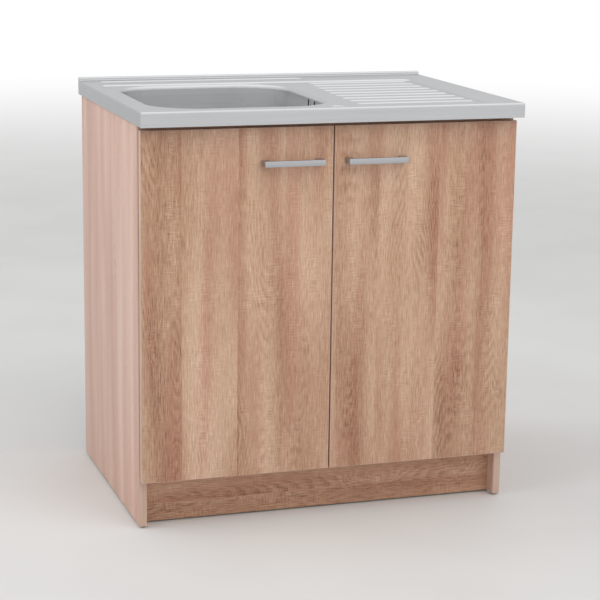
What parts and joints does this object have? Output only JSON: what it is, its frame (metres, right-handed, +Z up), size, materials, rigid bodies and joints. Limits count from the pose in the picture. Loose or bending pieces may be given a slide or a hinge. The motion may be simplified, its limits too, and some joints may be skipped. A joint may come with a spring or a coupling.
{
  "type": "kitchen sink unit",
  "caption": "Free-standing base cabinet with hinged wood-grain doors and a pressed steel sink top with bowl, ribbed drainer and strainer waste.",
  "frame": {"origin": "on the floor, under the middle of the sink top", "axes": "+X to the viewer's right facing the doors, +Y to the wall behind, +Z up"},
  "size_m": [0.8, 0.6, 0.857],
  "materials": {
    "stainless_sheet": "satin",
    "door_board": "satin",
    "side_board": "satin",
    "carcass_board": "satin",
    "plinth_board": "satin",
    "satin_handle": "satin",
    "nickel_plated_steel": "polished",
    "zinc_plated_steel": "satin",
    "zinc_casting": "matte",
    "beech": "matte",
    "glide_plastic": "matte",
    "buffer_rubber": "satin",
    "waste_steel": "polished",
    "black_rubber": "matte",
    "trap_plastic": "satin",
    "pipe_plastic": "satin"
  },
  "bodies": {
    "cabinet": {"bottom_panel": "carcass_board", "cam_bolts": "zinc_plated_steel", "cam_housings": "zinc_casting", "door_buffers": "buffer_rubber", "drain_nut": "trap_plastic", "drain_pipe": "pipe_plastic", "floor_glides": "glide_plastic", "front_rail": "carcass_board", "glide_nails": "zinc_plated_steel", "hinge_plate_screws": "zinc_plated_steel", "hinge_plates": "nickel_plated_steel", "left_hinge_arms": "nickel_plated_steel", "left_side_panel": "side_board", "overflow_gasket": "black_rubber", "overflow_head": "trap_plastic", "overflow_pipe": "pipe_plastic", "overflow_screw": "zinc_plated_steel", "plinth_board": "plinth_board", "rear_lower_rail": "carcass_board", "rear_upper_rail": "carcass_board", "right_hinge_arms": "nickel_plated_steel", "right_side_panel": "side_board", "sink_top": "stainless_sheet", "trap_body": "trap_plastic", "trap_cup": "trap_plastic", "trap_inlet_tube": "trap_plastic", "trap_neck_nut": "trap_plastic", "trap_top_nut": "trap_plastic", "waste_body": "trap_plastic", "waste_gasket": "black_rubber", "waste_screw": "zinc_plated_steel", "waste_strainer": "waste_steel", "wood_dowels": "beech"},
    "left_door": {"left_cup_screws": "zinc_plated_steel", "left_door": "door_board", "left_handle": "satin_handle", "left_handle_screws": "zinc_plated_steel", "left_hinge_cups": "nickel_plated_steel", "left_hinge_pins": "nickel_plated_steel"},
    "right_door": {"right_cup_screws": "zinc_plated_steel", "right_door": "door_board", "right_handle": "satin_handle", "right_handle_screws": "zinc_plated_steel", "right_hinge_cups": "nickel_plated_steel", "right_hinge_pins": "nickel_plated_steel"},
    "basket": {"strainer_basket": "waste_steel", "basket_seal": "black_rubber", "basket_knob": "waste_steel"}
  },
  "joints": [
    {"name": "left_door_hinge", "type": "hinge", "parent": "cabinet", "child": "left_door", "pos_m": [-0.3877, -0.2634, 0.456], "axis": [0, 0, -1], "range_deg": [0, 95]},
    {"name": "right_door_hinge", "type": "hinge", "parent": "cabinet", "child": "right_door", "pos_m": [0.3877, -0.2634, 0.456], "axis": [0, 0, 1], "range_deg": [0, 95]},
    {"name": "basket_lift", "type": "slide", "parent": "cabinet", "child": "basket", "axis": [0, 0, 1], "range_m": [0, 0.06]}
  ]
}
